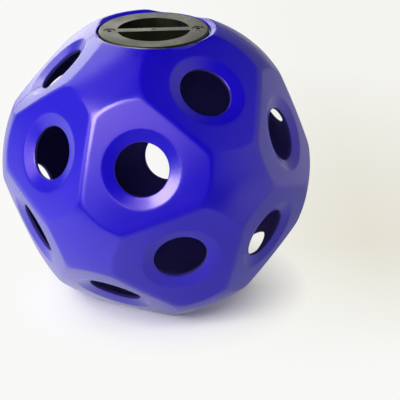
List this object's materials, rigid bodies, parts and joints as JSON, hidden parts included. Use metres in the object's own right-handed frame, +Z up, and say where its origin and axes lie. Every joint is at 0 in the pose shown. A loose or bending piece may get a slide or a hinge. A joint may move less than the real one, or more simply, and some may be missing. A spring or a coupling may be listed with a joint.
{
  "type": "hay feeder ball",
  "caption": "Hollow faceted blue plastic ball with dished round feed holes all over and a sunk black screw lid with finger pockets, for feeding hay slowly.",
  "frame": {"origin": "middle of the level ring the ball stands on", "axes": "+Z up through the middle of the screw lid, X along the lid's grip bar, -Y towards the viewer"},
  "size_m": [0.3998, 0.3868, 0.3647],
  "materials": {
    "shell": "semi-gloss moulded polyethylene",
    "seal": "matt",
    "lid": "satin moulded plastic"
  },
  "bodies": {
    "ball": {"ball_shell": "shell"},
    "seal": {"lid_seal": "seal"},
    "lid": {"screw_lid": "lid"}
  },
  "joints": [
    {"name": "lid_rise", "type": "slide", "parent": "ball", "child": "seal", "axis": [0, 0, 1], "range_m": [0, 0.024]},
    {"name": "lid_turn", "type": "hinge", "parent": "seal", "child": "lid", "pos_m": [0, 0, 0.36236], "axis": [0, 0, 1], "range_deg": [0, 360]}
  ],
  "couplings": [
    {"joint": "lid_rise", "follows": "lid_turn", "m_per_rad": 0.0038197}
  ]
}
